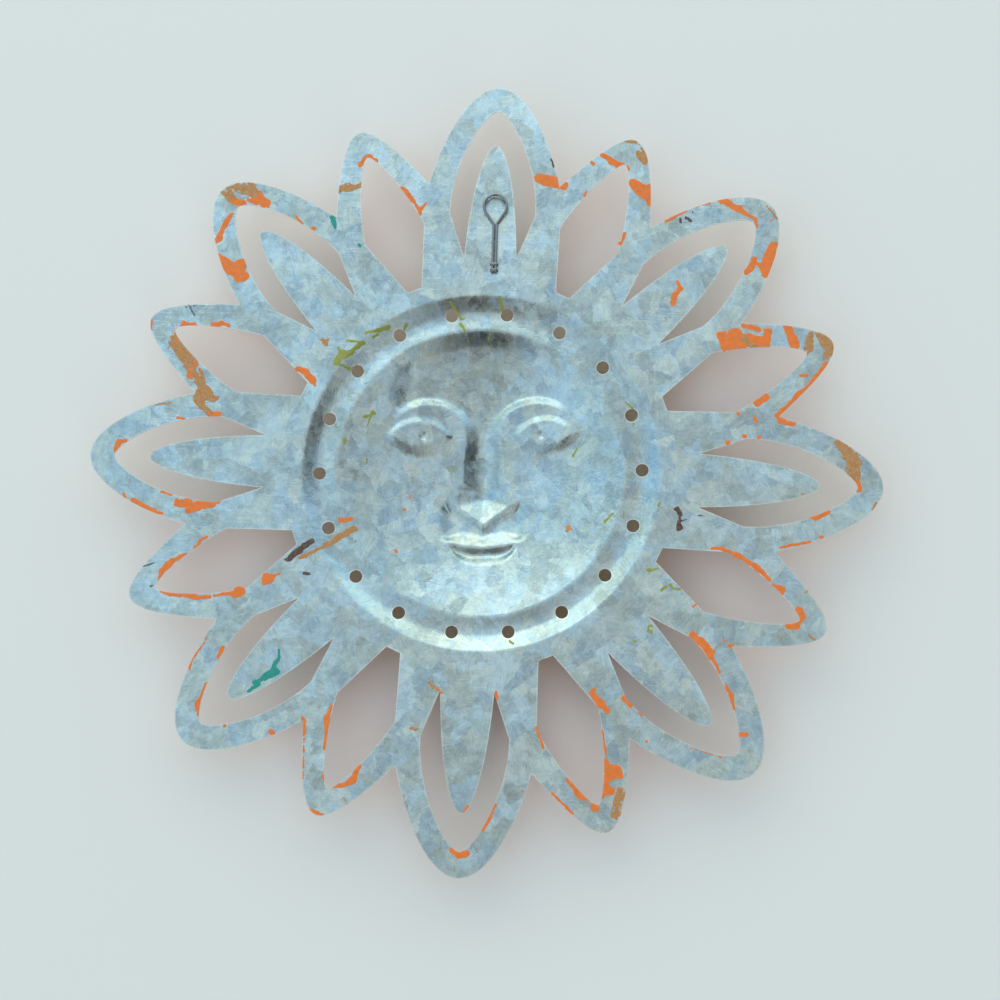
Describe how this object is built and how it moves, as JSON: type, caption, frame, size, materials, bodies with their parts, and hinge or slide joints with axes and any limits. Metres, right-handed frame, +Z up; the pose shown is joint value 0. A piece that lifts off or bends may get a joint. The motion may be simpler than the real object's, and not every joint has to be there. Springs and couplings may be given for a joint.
{
  "type": "metal sun wall decoration",
  "caption": "Pressed and pierced sheet steel sun with a relief face and pierced petals, hung from a welded wire eye.",
  "frame": {"origin": "centre of the hanging eye, in the middle plane of its wire", "axes": "+Z up along the top petal, +Y out of the flat back towards the wall, the face looks along -Y"},
  "size_m": [0.3, 0.0207, 0.3],
  "materials": {
    "galvanised_sheet": "spangled zinc, hand-painted on the face side",
    "wire_steel": "drawn steel wire",
    "weld_steel": "spot weld"
  },
  "bodies": {
    "root": {"sun_plate": "galvanised_sheet", "hanger_wire": "wire_steel", "upper_weld": "weld_steel", "lower_weld": "weld_steel"}
  },
  "joints": []
}
